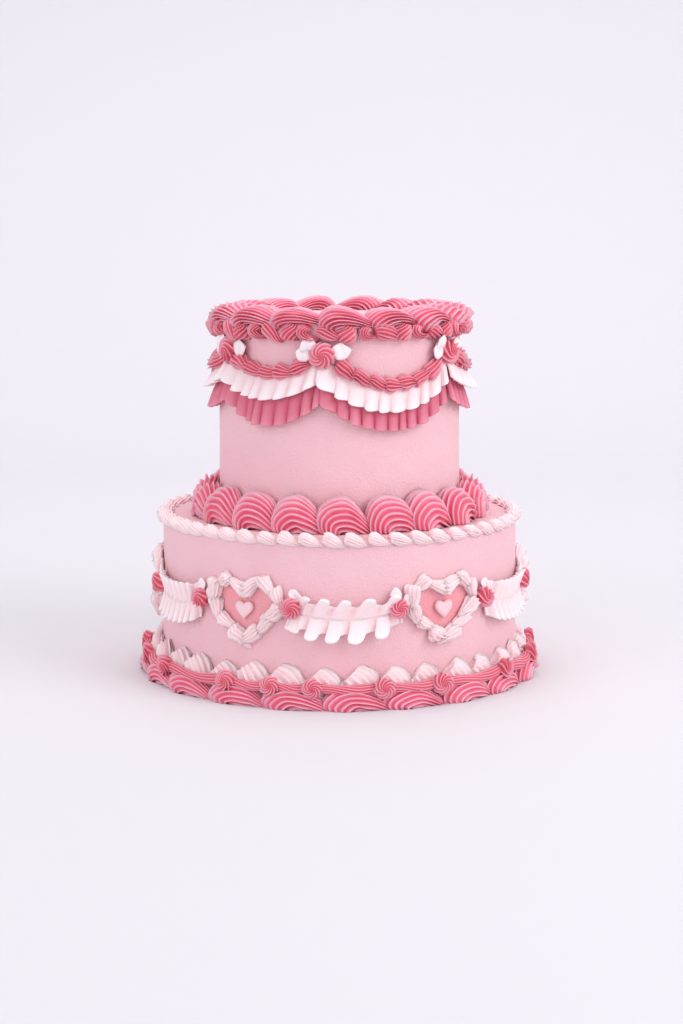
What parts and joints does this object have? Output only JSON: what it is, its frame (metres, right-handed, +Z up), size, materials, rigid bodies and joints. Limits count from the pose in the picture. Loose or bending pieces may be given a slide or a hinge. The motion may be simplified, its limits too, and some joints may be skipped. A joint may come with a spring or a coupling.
{
  "type": "two-tier cake",
  "caption": "Whole uncut two-tier round layer cake in pink buttercream with piped shell borders, ruffled swags and piped heart outlines",
  "frame": {"origin": "centre of the cake's flat underside, on the surface it stands on", "axes": "+Z up, -Y towards the front of the cake, +X to the viewer's right"},
  "size_m": [0.2464, 0.2464, 0.2263],
  "materials": {
    "tier_icing": "smooth scraped pink buttercream, matte, fine grain",
    "bright_rose_icing": "piped rose buttercream, soft satin, deep ridges",
    "dusty_rose_icing": "piped dusty rose buttercream, soft satin",
    "deep_rose_icing": "piped deep rose buttercream ruffle, soft satin",
    "white_icing": "piped warm white buttercream, soft satin",
    "candy": "pressed sugar, smooth matte pale pink"
  },
  "bodies": {
    "root": {"lower_tier": "tier_icing", "upper_tier": "tier_icing", "crown_shells": "bright_rose_icing", "waist_shells": "bright_rose_icing", "base_shells": "bright_rose_icing", "crown_under_shells": "dusty_rose_icing", "base_rope": "dusty_rose_icing", "deep_ruffle": "deep_rose_icing", "shelf_border": "white_icing", "base_white_shells": "white_icing", "white_ruffle_1": "white_icing", "white_ruffle_2": "white_icing", "white_ruffle_3": "white_icing", "white_ruffle_4": "white_icing", "white_ruffle_5": "white_icing", "white_ruffle_6": "white_icing", "garland_1": "dusty_rose_icing", "garland_2": "dusty_rose_icing", "garland_3": "dusty_rose_icing", "garland_4": "dusty_rose_icing", "garland_5": "dusty_rose_icing", "garland_6": "dusty_rose_icing", "swag_rosette_1": "dusty_rose_icing", "swag_rosette_2": "dusty_rose_icing", "swag_rosette_3": "dusty_rose_icing", "swag_rosette_4": "dusty_rose_icing", "swag_rosette_5": "dusty_rose_icing", "swag_rosette_6": "dusty_rose_icing", "heart_outline_1": "white_icing", "heart_outline_2": "white_icing", "heart_outline_3": "white_icing", "heart_outline_4": "white_icing", "heart_outline_5": "white_icing", "heart_outline_6": "white_icing", "candy_heart_1": "candy", "candy_heart_2": "candy", "candy_heart_3": "candy", "candy_heart_4": "candy", "candy_heart_5": "candy", "candy_heart_6": "candy", "ruffle_band_1": "white_icing", "ruffle_band_2": "white_icing", "ruffle_band_3": "white_icing", "ruffle_band_4": "white_icing", "ruffle_band_5": "white_icing", "ruffle_band_6": "white_icing", "heart_rosette_left_1": "dusty_rose_icing", "heart_rosette_left_2": "dusty_rose_icing", "heart_rosette_left_3": "dusty_rose_icing", "heart_rosette_left_4": "dusty_rose_icing", "heart_rosette_left_5": "dusty_rose_icing", "heart_rosette_left_6": "dusty_rose_icing", "heart_rosette_right_1": "dusty_rose_icing", "heart_rosette_right_2": "dusty_rose_icing", "heart_rosette_right_3": "dusty_rose_icing", "heart_rosette_right_4": "dusty_rose_icing", "heart_rosette_right_5": "dusty_rose_icing", "heart_rosette_right_6": "dusty_rose_icing"}
  },
  "joints": []
}
